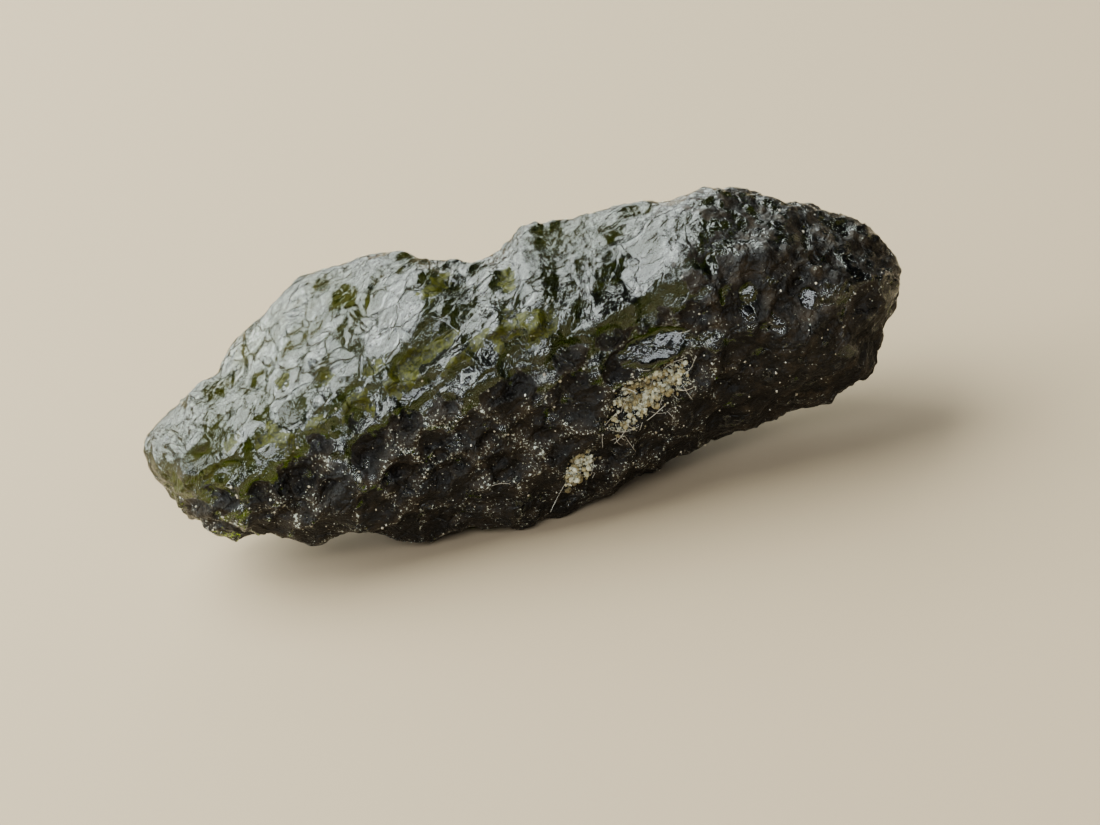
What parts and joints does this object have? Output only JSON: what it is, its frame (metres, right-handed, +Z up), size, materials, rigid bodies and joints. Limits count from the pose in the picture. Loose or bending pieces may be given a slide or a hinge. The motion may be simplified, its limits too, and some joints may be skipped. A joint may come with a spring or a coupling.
{
  "type": "moldavite",
  "caption": "Elongated olive-green natural glass stone, etched all over into shallow cups and ridges, lying on a small worn face.",
  "frame": {"origin": "centre of the stone's bounding box in plan, on the plane of the small worn face that it rests on", "axes": "+X runs along the stone from its tapering end to its blunt end, +Z is up, and -Y is the side that the broad face leans towards"},
  "size_m": [0.0394, 0.0136, 0.0145],
  "materials": {
    "moldavite_glass": "glossy etched natural glass, very dark olive green, see-through only where it is thin or lit from behind"
  },
  "bodies": {
    "root": {"moldavite": "moldavite_glass"}
  },
  "joints": []
}
